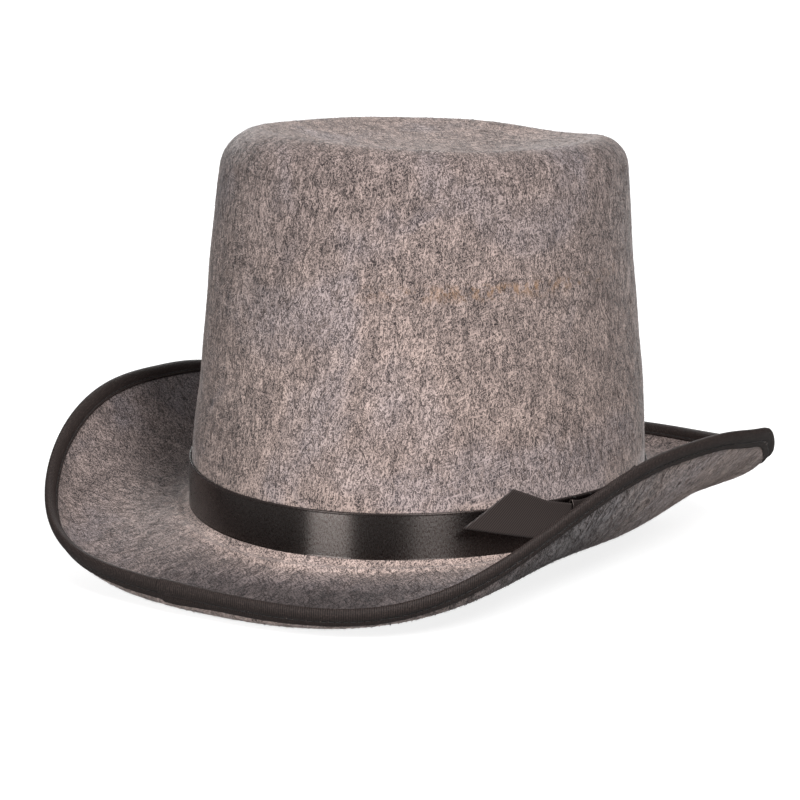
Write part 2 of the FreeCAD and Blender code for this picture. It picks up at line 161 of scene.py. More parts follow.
def at_edge(t, back, lift):
    """Points in space near the brim edge: back from the fold along the felt, lifted off its middle."""
    t, back, lift = np.broadcast_arrays(np.asarray(t, float), back, lift)
    foot, out, width = brim_frame(t)
    u = np.ones(t.shape)
    inward = np.maximum(back, 0.0)
    steps = 24
    for _ in range(steps):
        spot, ahead = brim_point(t, u)
        u = u - inward / steps * ahead[..., 0] / width
    spot, ahead = brim_point(t, u)
    beyond = np.minimum(back, 0.0)
    across = spot[..., 0] - beyond * ahead[..., 0] - lift * ahead[..., 1]
    rise = spot[..., 1] - beyond * ahead[..., 1] + lift * ahead[..., 0]
    flat = foot + out * across[..., None]
    return np.concatenate([flat, rise[..., None]], -1)


def crown_half_sizes(height):
    """Half width and half length of the crown's outside at a height."""
    share = np.clip((height - BAND_WIDTH) / (CROWN_TOP - BAND_WIDTH), 0.0, 1.2) ** 1.3
    scale = 1 - (1 - TIP_SCALE) * share
    return BASE_X * scale, BASE_Y * scale


def rim_height(t):
    """Height of the tip's rim: high in front, with a soft dent at the back."""
    slope = -6.0 * np.sin(t) + 2.0 * np.cos(t)
    dent = -2.5 * near(t, 80, 0.5)
    return CROWN_TOP + slope + dent


def shoulder_radius(t):
    """Rounding between side and tip, tighter on the wearer's left."""
    return 13.5 - 2.0 * np.cos(t - math.radians(30))


# ------------------------------------------------------------------ mesh helpers
def quads(rows, columns, close_rows, close_columns):
    """Quad corners of a grid whose vertices are numbered row by row."""
    row_count = rows if close_rows else rows - 1
    column_count = columns if close_columns else columns - 1
    i, j = np.meshgrid(np.arange(row_count), np.arange(column_count), indexing="ij")
    a = i * columns + j
    b = ((i + 1) % rows) * columns + j
    c = ((i + 1) % rows) * columns + (j + 1) % columns
    d = i * columns + (j + 1) % columns
    return np.stack([a, b, c, d], -1).reshape(-1, 4).tolist()


def add_mesh(name, points, faces, material, slot, replaces=(), fields=None, smooth=True):
    """Mesh object from millimetre points, riding on the hat."""
    mesh = bpy.data.meshes.new(name)
    points = np.asarray(points, float).reshape(-1, 3)
    mesh.from_pydata((points * METRE).tolist(), [], [tuple(f) for f in faces])
    mesh.materials.append(material)
    if smooth:
        mesh.polygons.foreach_set("use_smooth", [True] * len(mesh.polygons))
    for field, values in (fields or {}).items():
        values = np.asarray(values, float)
        kind = "FLOAT" if values.ndim == 1 else "FLOAT_VECTOR"
        layer = mesh.attributes.new(field, kind, "POINT")
        layer.data.foreach_set("value" if values.ndim == 1 else "vector", values.ravel())
    mesh.update()
    piece = bpy.data.objects.new(name, mesh)
    bpy.context.scene.collection.objects.link(piece)
    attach(piece, "root")
    if replaces:
        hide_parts(*replaces)
    return piece


def grid_normals(grid):
    """Unit normals of a grid closed along its first direction."""
    around = np.roll(grid, -1, 0) - np.roll(grid, 1, 0)
    along = np.gradient(grid, axis=1)
    normal = np.cross(along, around)
    return normal / np.linalg.norm(normal, axis=-1, keepdims=True)


def tubes(centres, directions, lengths, radius, sides=6):
    """Short capsules, such as stitches: points and faces of all of them in one mesh."""
    centres = np.asarray(centres, float)
    directions = directions / np.linalg.norm(directions, axis=-1, keepdims=True)
    helper = np.where(np.abs(directions[:, 2:3]) > 0.9, [[1.0, 0, 0]], [[0, 0, 1.0]])
    side = np.cross(directions, helper)
    side /= np.linalg.norm(side, axis=-1, keepdims=True)
    other = np.cross(directions, side)
    angle = np.arange(sides) / sides * TURN
    stations = ((-0.5, 0.35), (-0.38, 1.0), (0.38, 1.0), (0.5, 0.35))
    points = []
    for position, swell in stations:
        ring = side[:, None] * np.cos(angle)[None, :, None]
        ring = ring + other[:, None] * np.sin(angle)[None, :, None]
        shift = directions[:, None] * (position * np.asarray(lengths)[:, None, None])
        points.append(centres[:, None] + shift + ring * radius * swell)
    points = np.stack(points, 1)
    count = len(centres)
    one = np.array(quads(len(stations), sides, False, True))
    per_tube = len(stations) * sides
    faces = [tuple(f) for n in range(count) for f in (one + n * per_tube).tolist()]
    for n in range(count):
        first = n * per_tube
        last = first + per_tube - sides
        faces.append(tuple(first + k for k in range(sides)))
        faces.append(tuple(last + k for k in reversed(range(sides))))
    return points.reshape(-1, 3), faces


# ------------------------------------------------------------------ material helpers
class Nodes:
    """Short way to write a node tree."""

    def __init__(self, name):
        self.material = bpy.data.materials.new(name)
        self.material.use_nodes = True
        self.tree = self.material.node_tree
        self.shader = self.tree.nodes["Principled BSDF"]

    def add(self, kind, inputs=None, **settings):
        """New node with settings and inputs; an input may be a value or another node's socket."""
        node = self.tree.nodes.new(kind)
        for key, value in settings.items():
            setattr(node, key, value)
        for key, value in (inputs or {}).items():
            self.put(node.inputs[key], value)
        return node

    def put(self, socket, value):
        """Set or link one input."""
        if isinstance(value, bpy.types.NodeSocket):
            self.tree.links.new(value, socket)
        else:
            socket.default_value = value

    def surface(self, **inputs):
        """Inputs of the main shader, underscores standing for spaces."""
        for key, value in inputs.items():
            self.put(self.shader.inputs[key.replace("_", " ")], value)

    def field(self, name, part="Vector"):
        """Attribute stored on the mesh."""
        return self.add("ShaderNodeAttribute", attribute_name=name).outputs[part]

    def noise(self, vector, scale, detail=4.0, roughness=0.6, distortion=0.0):
        """Noise between 0 and 1."""
        node = self.add("ShaderNodeTexNoise", {
            "Vector": vector, "Scale": scale, "Detail": detail,
            "Roughness": roughness, "Distortion": distortion})
        return node.outputs["Fac"]

    def laid(self, vector, lean, turn, stretch):
        """Coordinates that stretch a texture along a line leaning from upright and turned about it."""
        node = self.add("ShaderNodeMapping", {
            "Vector": vector, "Rotation": (0.0, math.radians(lean), math.radians(turn)),
            "Scale": (1.0, 1.0, 1.0 / stretch)}, vector_type="TEXTURE")
        return node.outputs["Vector"]

    def step(self, value, start, end):
        """Soft step from 0 at start to 1 at end."""
        node = self.add("ShaderNodeMapRange", {
            "Value": value, "From Min": start, "From Max": end}, interpolation_type="SMOOTHSTEP")
        return node.outputs["Result"]

    def ramp(self, factor, stops):
        """Colour ramp through (position, colour) stops."""
        node = self.add("ShaderNodeValToRGB", {"Fac": factor})
        ramp = node.color_ramp
        while len(ramp.elements) < len(stops):
            ramp.elements.new(0.5)
        for element, (position, colour) in zip(ramp.elements, stops):
            element.position = position
            element.color = (*colour, 1.0)
        return node.outputs["Color"]

    def math(self, operation, a, b=0.0):
        """Arithmetic on two values."""
        node = self.add("ShaderNodeMath", operation=operation)
        self.put(node.inputs[0], a)
        self.put(node.inputs[1], b)
        return node.outputs[0]

    def mix(self, factor, a, b, blend="MIX"):
        """Mix of two colours."""
        node = self.add("ShaderNodeMix", data_type="RGBA", blend_type=blend)
        self.put(node.inputs["Factor"], factor)
        self.put(node.inputs["A"], a)
        self.put(node.inputs["B"], b)
        return node.outputs["Result"]

    def bump(self, height, strength, distance, normal=None):
        """Bump from a height, distance in millimetres."""
        inputs = {"Height": height, "Strength": strength, "Distance": distance * METRE}
        if normal is not None:
            inputs["Normal"] = normal
        return self.add("ShaderNodeBump", inputs).outputs["Normal"]


def grey(value):
    """Neutral colour."""
    return (value, value, value)


def felt_material():
    """Melange felt: short pale and dark hairs in many directions, over soft blotches."""
    n = Nodes("grey_felt")
    place = n.add("ShaderNodeTexCoord").outputs["Object"]
    # lean from upright and turn about the vertical, in degrees, and fineness of each set of hairs
    lays = ((6, 0, 1900), (22, 30, 1700), (28, 150, 1900), (32, 270, 1600),
            (72, 60, 1500), (84, 150, 1700), (68, 330, 1400))
    pale = 0.0
    dark = 0.0
    for lean, turn, fineness in lays:
        hairs = n.noise(n.laid(place, lean, turn, 0.10), fineness, 1.0, 0.55, 0.3)
        pale = n.math("MAXIMUM", n.step(hairs, 0.565, 0.69), pale)
        dark = n.math("MAXIMUM", n.step(hairs, 0.40, 0.27), dark)
    blotch = n.noise(place, 110.0, 3.0, 0.6, 0.8)
    streak = n.noise(n.laid(place, 6, 40, 0.15), 330.0, 2.0, 0.6, 0.5)
    cloud = n.noise(place, 16.0, 3.0, 0.6, 0.6)
    mottle = n.math("ADD", n.math("MULTIPLY", blotch, 0.4), n.math("MULTIPLY", streak, 0.3))
    mottle = n.math("ADD", mottle, n.math("MULTIPLY", cloud, 0.3))
    base = n.mix(n.step(mottle, 0.41, 0.59), (0.052, 0.041, 0.041, 1.0), (0.205, 0.156, 0.140, 1.0))
    blue = n.math("MULTIPLY", n.step(cloud, 0.48, 0.64), 0.5)
    base = n.mix(blue, base, (0.078, 0.072, 0.086, 1.0))
    base = n.mix(n.math("MULTIPLY", dark, 0.50), base, (0.014, 0.011, 0.012, 1.0))
    tips = n.mix(blue, (0.640, 0.494, 0.440, 1.0), (0.450, 0.393, 0.410, 1.0))
    strength = n.math("ADD", 0.55, n.math("MULTIPLY", n.step(mottle, 0.38, 0.62), 0.42))
    colour = n.mix(n.math("MULTIPLY", pale, strength), base, tips)
    spots = n.step(n.noise(place, 220.0, 2.0, 0.6), 0.46, 0.60)
    stain = n.math("MULTIPLY", n.field("stain", "Fac"), n.math("MULTIPLY", spots, 0.75))
    colour = n.mix(stain, colour, (0.34, 0.19, 0.095, 1.0))
    # painted shade from the mesh multiplies the colour, turning a little bluer where it is darkest
    painted_shade = n.field("painted_shade", "Fac")
    colour = n.mix(1.0, colour, n.ramp(painted_shade, [
        (0.0, grey(0.0)), (0.3, (0.30, 0.31, 0.34)), (0.7, grey(0.7)), (1.0, grey(1.0))]), "MULTIPLY")
    nap = n.noise(n.laid(place, 10, 70, 0.4), 900.0, 2.0, 0.7)
    n.surface(Base_Color=colour, Roughness=0.95, Normal=n.bump(nap, 0.6, 0.35), Sheen_Weight=0.20,
              Sheen_Roughness=0.5, Specular_IOR_Level=0.08)
    return n.material


def fibre_material():
    """Loose surface hairs of the felt, pale or dark one by one, and darker under the felt's painted shade.
    """
    n = Nodes("felt_hairs")
    tone_and_painted_shade = n.field("tone_and_painted_shade", "Fac")
    colour = n.ramp(tone_and_painted_shade, [
        (0.0, (0.010, 0.008, 0.009)), (0.35, (0.10, 0.08, 0.075)),
        (0.65, (0.30, 0.235, 0.215)), (1.0, (0.62, 0.52, 0.48))])
    n.surface(Base_Color=colour, Roughness=0.8, Specular_IOR_Level=0.2)
    return n.material


def grosgrain_material(name, dark, pale):
    """Ribbed ribbon: a painted highlight makes the cords pale, and painted shade keeps the gaps between
    them dark.
    """
    n = Nodes(name)
    rib = n.field("rib", "Fac")
    place = n.add("ShaderNodeTexCoord").outputs["Object"]
    weave = n.noise(place, 1500.0, 3.0, 0.7)
    dust = n.noise(place, 60.0, 4.0, 0.6)
    # painted highlight on the cords and painted shade in the gaps, from the rib phase
    cords = n.mix(rib, (*dark, 1.0), (*pale, 1.0))
    fluff = n.math("MULTIPLY", n.step(weave, 0.52, 0.66), 0.45)
    colour = n.mix(fluff, cords, (*[2.4 * c for c in pale], 1.0))
    rough = n.math("ADD", 0.55, n.math("MULTIPLY", dust, 0.2))
    normal = n.bump(weave, 0.25, 0.05)
    n.surface(Base_Color=colour, Roughness=rough, Normal=normal, Specular_IOR_Level=0.14)
    return n.material


def satin_material():
    """Black satin: warp floats give a broad soft gloss with fine sparkle."""
    n = Nodes("black_satin")
    weave = n.field("weave")
    grain = n.noise(weave, 1.9, 3.0, 0.75)
    fine = n.noise(weave, 4.0, 2.0, 0.6)
    edge = n.field("selvedge", "Fac")
    colour = n.mix(edge, (0.0015, 0.001, 0.001, 1.0), (0.024, 0.019, 0.018, 1.0))
    sparkle = n.step(n.math("ADD", grain, fine), 0.90, 1.10)
    gloss = n.mix(sparkle, (0.56, 0.44, 0.40, 1.0), (1.0, 0.92, 0.88, 1.0))
    gloss = n.mix(edge, gloss, (0.15, 0.12, 0.11, 1.0))
    rough = n.math("ADD", 0.22, n.math("MULTIPLY", grain, 0.12))
    normal = n.bump(n.math("ADD", grain, fine), 0.5, 0.014)
    n.surface(Base_Color=colour, Roughness=rough, Normal=normal, Specular_IOR_Level=1.0, IOR=1.56,
              Specular_Tint=gloss, Anisotropic=0.96, Anisotropic_Rotation=0.25)
    return n.material


def satin_back_material():
    """Dull reverse of the satin with its fine diagonal twill."""
    n = Nodes("black_satin_back")
    weave = n.field("weave")
    split = n.add("ShaderNodeSeparateXYZ", {"Vector": weave})
    slant = n.math("ADD", split.outputs["X"], split.outputs["Y"])
    line = n.math("SINE", n.math("MULTIPLY", slant, TURN / 1.35))
    line = n.math("ADD", n.math("MULTIPLY", line, 0.5), 0.5)
    grain = n.noise(weave, 3.0, 3.0, 0.7)
    colour = n.mix(line, (0.003, 0.002, 0.002, 1.0), (0.046, 0.034, 0.031, 1.0))
    colour = n.mix(n.math("MULTIPLY", grain, 0.20), colour, (0.07, 0.055, 0.050, 1.0))
    normal = n.bump(n.math("ADD", line, grain), 0.5, 0.05)
    n.surface(Base_Color=colour, Roughness=0.62, Normal=normal, Sheen_Weight=0.05, Specular_IOR_Level=0.25)
    return n.material


def thread_material():
    """Twisted black sewing thread."""
    n = Nodes("black_thread")
    place = n.add("ShaderNodeTexCoord").outputs["Object"]
    twist = n.noise(place, 2500.0, 2.0, 0.6)
    colour = n.ramp(twist, [(0.3, grey(0.004)), (0.7, grey(0.020))])
    n.surface(Base_Color=colour, Roughness=0.55, Normal=n.bump(twist, 0.4, 0.05))
    return n.material


def label_material():
    """Woven off-white label."""
    n = Nodes("white_label")
    weave = n.field("weave")
    threads = n.noise(weave, 4.0, 3.0, 0.6)
    colour = n.ramp(threads, [(0.3, (0.62, 0.60, 0.55)), (0.7, (0.82, 0.80, 0.75))])
    n.surface(Base_Color=colour, Roughness=0.8, Normal=n.bump(threads, 0.4, 0.1))
    return n.material


def steel_material():
    """Drawn spring wire."""
    n = Nodes("spring_steel")
    place = n.add("ShaderNodeTexCoord").outputs["Object"]
    marks = n.noise(place, 400.0, 4.0, 0.6)
    rough = n.math("ADD", 0.25, n.math("MULTIPLY", marks, 0.25))
    n.surface(Base_Color=(0.45, 0.45, 0.46, 1.0), Metallic=1.0, Roughness=rough,
              Normal=n.bump(marks, 0.2, 0.03))
    return n.material


FELT_LOOK = felt_material()
HAIR_LOOK = fibre_material()
BINDING_LOOK = grosgrain_material("black_grosgrain", (0.002, 0.0015, 0.0015), (0.030, 0.022, 0.020))
SWEAT_LOOK = grosgrain_material("sweatband_ribbon", (0.012, 0.012, 0.014), (0.035, 0.034, 0.038))
SATIN_LOOK = satin_material()
SATIN_BACK_LOOK = satin_back_material()
THREAD_LOOK = thread_material()
LABEL_LOOK = label_material()
STEEL_LOOK = steel_material()


# ------------------------------------------------------------------ felt body
AROUND = 720
TIP_ROWS = 22
SHOULDER_ROWS = 14
SIDE_ROWS = 51
BRIM_ROWS = 63
FOOT_ROW = TIP_ROWS + SHOULDER_ROWS + SIDE_ROWS - 1
FACE_ROWS = FOOT_ROW + 1 + BRIM_ROWS


def crown_rows(t):
    """Outside of the crown from the tip's middle down to its foot, as a list of point columns."""
    radius = shoulder_radius(t)
    spring = rim_height(t) - radius
    side_x, side_y = crown_half_sizes(spring)
    lean_in = 0.09
    rows = []

    def ring(half_x, half_y, height):
        rows.append(np.stack([half_x * np.cos(t), half_y * np.sin(t), height + 0 * t], -1))

    crest_in = radius * (1 + lean_in)
    for share in np.linspace(0.04, 0.97, TIP_ROWS):
        plane = CROWN_TOP + (rim_height(t) - CROWN_TOP) * share
        dish = 10.0 * (1 - share ** 2.2)
        ring((side_x - crest_in) * share, (side_y - crest_in) * share, plane - dish)
    for angle in np.linspace(math.pi / 2, 0.0, SHOULDER_ROWS):
        inward = radius * (1 - math.cos(angle)) + radius * lean_in * math.sin(angle)
        ring(side_x - inward, side_y - inward, spring + radius * math.sin(angle))
    foot = base_lift(t)
    for share in np.linspace(1.0, 0.0, SIDE_ROWS + 1)[1:]:
        height = foot + (spring - foot) * share
        half_x, half_y = crown_half_sizes(height)
        ring(half_x, half_y, height)
    return rows


def brim_shares(t, count, short):
    """Values of u evenly spaced along the felt, from the crown to a little short of the fold."""
    fine = np.linspace(0, 1, 300)
    rise = brim_rise(t[:, None], fine[None])
    across = np.diff(fine)[None] * brim_frame(t)[2][:, None]
    steps = np.hypot(across, np.diff(rise, axis=1))
    length = np.concatenate([np.zeros((len(t), 1)), np.cumsum(steps, 1)], 1)
    even = np.linspace(0, 1, count)
    return np.stack([np.interp(even * (line[-1] - short), line, fine) for line in length], 1)


def brim_rows(t):
    """Upper face of the brim from the crown's foot to the felt's edge."""
    foot, out, _ = brim_frame(t)
    rows = []
    for u in brim_shares(t, BRIM_ROWS + 1, 1.75 * FOLD_RADIUS)[1:]:
        spot, ahead = brim_point(t, u)
        flat = foot + out * (spot[:, :1] - ahead[:, 1:] * FELT / 2)
        height = spot[:, 1:] + ahead[:, :1] * FELT / 2
        rows.append(np.concatenate([flat, height], -1))
    return rows


def soften(grid, first, last, rounds):
    """Round the crease between crown and brim by averaging neighbouring rows."""
    for _ in range(rounds):
        mean = (grid[:, first - 1:last - 1] + grid[:, first + 1:last + 1]) / 2
        grid[:, first:last] = 0.5 * grid[:, first:last] + 0.5 * mean


def waves(t, height):
    """Hand-made unevenness of the crown: broad, shallow swellings."""
    slow = 0.55 * np.sin(2 * t + 0.035 * height + 0.6) + 0.40 * np.sin(3 * t - 0.05 * height + 2.1)
    quick = 0.20 * np.sin(7 * t + 0.11 * height) * np.sin(0.07 * height + 1.0)
    return slow + quick


# crease in the front of the crown: its angle at one height, slant in radians per millimetre,
# half spread round the hat, middle, half spread in height, depth
CREASE_ANGLE = math.radians(-85)
CREASE_HEIGHT = 137
CREASE_SLANT = 0.0053
CREASE_BREADTH = 0.05
CREASE_MIDDLE = 118
CREASE_REACH = 17
CREASE_DEPTH = 0.8


def crown_crease(t, height):
    """Strength of a short slanting crease in the front of the crown."""
    line = CREASE_ANGLE - (CREASE_HEIGHT - height) * CREASE_SLANT
    off = (t - line + math.pi) % TURN - math.pi
    return np.exp(-(off / CREASE_BREADTH) ** 2) * np.exp(-((height - CREASE_MIDDLE) / CREASE_REACH) ** 2)


# height over which the swellings grow above the band, and the brim's ridge: height, place, half spread
WAVE_FADE = 30
RIDGE_HEIGHT = 1.2
RIDGE_PLACE = 5.5
RIDGE_SPREAD = 1.1
EDGE_ROUND = 0.6


def worked(grid, t):
    """Face of the felt with the crown's swellings and crease, and the brim's ridge in front."""
    column_t = t[:, None]
    normal = grid_normals(grid)
    fade = np.clip((grid[..., 2] - BAND_HIGH) / WAVE_FADE, 0, 1)
    fade[:, FOOT_ROW:] = 0
    fade[:, :TIP_ROWS] *= np.linspace(0, 1, TIP_ROWS)[None]
    crease = crown_crease(column_t, grid[..., 2])
    crease[:, TIP_ROWS:TIP_ROWS + SHOULDER_ROWS] = 0
    crease[:, FOOT_ROW:] = 0
    grid = grid + normal * (waves(column_t, grid[..., 2]) * fade - CREASE_DEPTH * crease)[..., None]
    off_crown = np.hypot(grid[..., 0] / BASE_X, grid[..., 1] / BASE_Y) - 1
    off_crown = off_crown * (BASE_X + BASE_Y) / 2
    front = np.clip(1.3 * np.sin(-column_t) - 0.35, 0, 1)
    ridge = RIDGE_HEIGHT * np.exp(-((off_crown - RIDGE_PLACE) / RIDGE_SPREAD) ** 2) * front
    ridge[:, :FOOT_ROW] = 0
    return grid + normal * ridge[..., None]


def make_felt():
    """Crown and brim as one closed shell; returns the two faces that carry loose hairs."""
    t = np.arange(AROUND) / AROUND * TURN
    grid = np.stack(crown_rows(t) + brim_rows(t), 1)
    soften(grid, FOOT_ROW - 2, FOOT_ROW + 3, 6)
    grid = worked(grid, t)
    normal = grid_normals(grid)
    inner = grid - normal * FELT
    edge_middle = (grid[:, -1] + inner[:, -1]) / 2
    past_edge = grid[:, -1] - grid[:, -2]
    past_edge /= np.linalg.norm(past_edge, axis=-1, keepdims=True)
    edge_row = (edge_middle + past_edge * EDGE_ROUND)[:, None]
    shell = np.concatenate([grid, edge_row, inner[:, ::-1]], 1)
    rows = shell.shape[1]
    points = np.concatenate([shell.reshape(-1, 3), [shell[:, 0].mean(0), shell[:, -1].mean(0)]])
    outer_pole = AROUND * rows
    fans = []
    for i in range(AROUND):
        ahead = (i + 1) % AROUND
        fans.append((outer_pole, ahead * rows, i * rows))
        fans.append((outer_pole + 1, i * rows + rows - 1, ahead * rows + rows - 1))
    fields = felt_fields(t, shell)
    add_mesh("felt_shell", points, quads(AROUND, rows, True, False) + fans, FELT_LOOK,
             "grey_felt", ["felt_body"], fields)
    painted_shade = fields["painted_shade"][:-2].reshape(AROUND, rows)
    below = painted_shade[:, :-1 - FACE_ROWS:-1]
    return ((grid, normal, painted_shade[:, :FACE_ROWS]),
            (inner[:, FOOT_ROW:], -normal[:, FOOT_ROW:], below[:, FOOT_ROW:]))


# painted shade multiplied into the felt's colour: crown side, dished tip, shoulder and upper face of the
# brim
SIDE_SHADE = 0.70
TIP_SHADE = 0.72
SHOULDER_SHADE = 0.50
BRIM_SHADE = 0.77
# rows where the tip's painted shade ends, where the shoulder's painted shade is darkest and where the
# side's painted shade begins
SHADE_ROWS = (20, 29, 64)


def painted_brim_shade(t):
    """Painted shade of the brim's upper face: in front a painted highlight on the ridge's crest and
    painted shade beyond it, and painted shade behind.
    """
    row = np.arange(FACE_ROWS - FOOT_ROW)
    across = np.clip((row - 2) / 10, 0, 1)[None]
    away = np.clip((row - 8) / 16, 0, 1)[None]
    front = near(t, -72, 0.7)[:, None]
    behind = (near(t, 150, 0.8) + 0.7 * near(t, 35, 0.4))[:, None]
    # painted highlight along the crest of the brim's ridge in front
    painted_crest_highlight = 0.25 * np.exp(-((row - 5.5) / 1.6) ** 2)[None] * front
    return BRIM_SHADE * (1 - 0.26 * across) * (1 - 0.74 * away * front) * (1 - 0.58 * behind) + painted_crest_highlight


def felt_fields(t, shell):
    """Painted shade and stain strength of the felt, one value per vertex, with the two poles last."""
    height = shell[..., 2]
    tip_end, darkest, settled = SHADE_ROWS
    painted_shade = np.full(shell.shape[:2], SIDE_SHADE)
    painted_shade[:, :tip_end] = TIP_SHADE
    painted_shade[:, tip_end:darkest] = np.linspace(TIP_SHADE, SHOULDER_SHADE, darkest - tip_end)[None]
    painted_shade[:, darkest:settled] = np.linspace(SHOULDER_SHADE, SIDE_SHADE, settled - darkest)[None]
    # painted shade along the crown's crease
    painted_shade[:, :FOOT_ROW] *= 1 - 0.30 * crown_crease(t[:, None], height[:, :FOOT_ROW])
    painted_shade[:, FOOT_ROW:FACE_ROWS] = painted_brim_shade(t)
    # painted shade on the brim's lower face, darkest round t = -26 degrees
    painted_shade[:, FACE_ROWS:FACE_ROWS + BRIM_ROWS + 1] = 1 - 0.78 * near(t, -26, 0.42)[:, None]
    stain = near(t, -26, 0.6)[:, None] * np.exp(-((height - 108) / 2.4) ** 2)
    stain[:, FACE_ROWS:] = 0
    return {"painted_shade": np.append(painted_shade.ravel(), [TIP_SHADE, SIDE_SHADE]),
            "stain": np.append(stain.ravel(), [0.0, 0.0])}


upper_face, brim_outer_face = make_felt()


def add_hairs(name, face, count, free_rows, bare_rows, spread, breadth):
    """Loose hairs lying on the felt: thin ribbons of three quads, at any angle in the free rows."""
    grid, normal, painted_shade = face
    rows = grid.shape[1]
    area = np.linalg.norm(np.cross(np.roll(grid, -1, 0)[:, :-1] - grid[:, :-1],
                                   np.diff(grid, axis=1)), axis=-1)
    area[:, :3] = 0
    area[:, bare_rows] = 0
    chance = area.ravel() / area.sum()
    cell = rng.choice(len(chance), count, p=chance)
    i, j = np.unravel_index(cell, area.shape)
    j = np.clip(j, 2, rows - 3)
    start = grid[i, j]
    up = normal[i, j]
    down = grid[i, j + 1] - grid[i, j]
    down /= np.linalg.norm(down, axis=1, keepdims=True)
    side = np.cross(up, down)
    on_tip = j < free_rows
    lean = rng.normal(0, spread, count)
    lean = np.where(on_tip, rng.uniform(-1.6, 1.6, count), lean)
    heading = down * np.cos(lean)[:, None] + side * np.sin(lean)[:, None]
    bend = rng.normal(0, 0.25, count)
    length = rng.uniform(1.5, 6.0, count)
    lift = rng.uniform(0.05, 0.55, count) ** 1.6
    half = rng.uniform(0.05, 0.11, count) * breadth
    stations = (0.0, 0.33, 0.66, 1.0)
    points = []
    for share in stations:
        turned = heading * np.cos(bend * share)[:, None]
        turned = turned + np.cross(up, heading) * np.sin(bend * share)[:, None]
        rise = 0.03 + lift * math.sin(math.pi * (0.15 + 0.7 * share))
        middle_line = start + turned * (length * (share - 0.5))[:, None] + up * rise[:, None]
        across = np.cross(up, turned) * (half * (1.0 if share in (0.33, 0.66) else 0.45))[:, None]
        points.append(middle_line - across)
        points.append(middle_line + across)
    points = np.stack(points, 1).reshape(-1, 3)
    strip = np.array([[0, 1, 3, 2], [2, 3, 5, 4], [4, 5, 7, 6]])
    faces = (strip[None] + np.arange(count)[:, None, None] * 8).reshape(-1, 4).tolist()
    # each hair's random tone times the painted shade of the felt at its root
    tone_and_painted_shade = np.repeat(rng.beta(1.9, 1.3, count) * painted_shade[i, j], 8)
    return add_mesh(name, points, faces, HAIR_LOOK, "grey_felt", (), {"tone_and_painted_shade": tone_and_painted_shade}, False)


BAND_ROWS = slice(FOOT_ROW - 9, FOOT_ROW + 4)
add_hairs("felt_hairs", upper_face, 52000, TIP_ROWS + 2, BAND_ROWS, 0.6, 1.0)
add_hairs("felt_hairs_below", brim_outer_face, 16000, 0, slice(0, 3), 0.4, 2.0)


# ------------------------------------------------------------------ brim binding
JOINT_ANGLE = math.radians(-94)
JOINT_LAP = math.radians(1.8)
LAP_FADE = math.radians(4.0)
LAP_LIFT = 0.62
LAP_OVERHANG = 0.5
RIB_PITCH = 0.95
RIB_HEIGHT = 0.11
# how far back from the fold the ribbon reaches on the brim's outer and upper face
BINDING_OUTER = 8.6
BINDING_UPPER = 6.7


def edge_length_table(start, end, count):
    """Angles evenly spaced by length along the brim edge, and the lengths."""
    t = np.linspace(start, end, 4000)
    points = at_edge(t, 0.0, 0.0)
    steps = np.linalg.norm(np.diff(points, axis=0), axis=1)
    length = np.concatenate([[0.0], np.cumsum(steps)])
    even = np.linspace(0, length[-1], count)
    return np.interp(even, length, t), even


def binding_outline():
    """Outside of the folded ribbon in section: (back from the fold, lift), lower edge to upper edge."""
    bead = [(0.3, 0.80), (1.0, 1.50), (2.0, 1.98), (3.0, 2.12), (4.0, 2.05), (4.8, 1.78), (5.35, 1.42)]
    lower = [(BINDING_OUTER, -1.60), (7.7, -1.72), (6.8, -1.70), (6.2, -1.60), (5.75, -1.38)]
    lower += [(back, -lift) for back, lift in reversed(bead)]
    upper = [(5.8, 1.50), (6.2, 1.66), (BINDING_UPPER, 1.58)]
    return np.array(lower + [(0.0, 0.0)] + bead + upper)


def make_binding():
    """Grosgrain strip folded over the edge; its first stretch laps over its last."""
    per_rib = 4
    total = TURN + JOINT_LAP
    rough_length = edge_length_table(JOINT_ANGLE, JOINT_ANGLE + total, 10)[1][-1]
    columns = int(rough_length / RIB_PITCH) * per_rib
    t, length = edge_length_table(JOINT_ANGLE, JOINT_ANGLE + total, columns)
    outline = binding_outline()
    tangent = np.gradient(outline, axis=0)
    tangent /= np.linalg.norm(tangent, axis=1, keepdims=True)
    outward = np.stack([tangent[:, 1], -tangent[:, 0]], -1)
    outward *= -np.sign(outward[2, 1])
    phase = np.abs(np.sin(math.pi * np.arange(columns) / per_rib))
    lap = np.clip((JOINT_ANGLE + JOINT_LAP + LAP_FADE - t) / LAP_FADE, 0, 1)
    wobble = 0.16 * np.sin(length / 17.0) + 0.12 * np.sin(length / 7.3 + 1.0)
    rise = RIB_HEIGHT * phase + LAP_LIFT * lap
    outer = outline[None] + outward[None] * rise[:, None, None]
    flange = np.clip((outline[:, 0] - 5.0) / 3.0, 0, 1)
    inner = outline[None] - outward[None] * (RIBBON - LAP_LIFT * lap)[:, None, None]
    for face in (outer, inner):
        face[..., 0] += flange[None] * (wobble + LAP_OVERHANG * lap)[:, None]
    section = np.concatenate([outer, inner[:, ::-1]], 1)
    points = at_edge(t[:, None], section[..., 0], section[..., 1])
    rows = section.shape[1]
    faces = quads(columns, rows, False, True)
    for first in (0, (columns - 1) * rows):
        for k in range(rows // 2 - 1):
            faces.append((first + k, first + k + 1, first + rows - 2 - k, first + rows - 1 - k))
    rib = np.repeat(phase[:, None], rows, 1).ravel()
    add_mesh("brim_binding_ribbon", points.reshape(-1, 3), faces, BINDING_LOOK,
             "black_grosgrain", ["brim_binding"], {"rib": rib})


make_binding()


STITCH_PITCH = 3.0
STITCH_LENGTH = 2.5
THREAD_RADIUS = 0.17
# back from the fold and lift off the felt's middle, on the upper and on the outer face
NEEDLE_LINE = (5.55, 1.62)
BOBBIN_LINE = (5.60, -1.60)


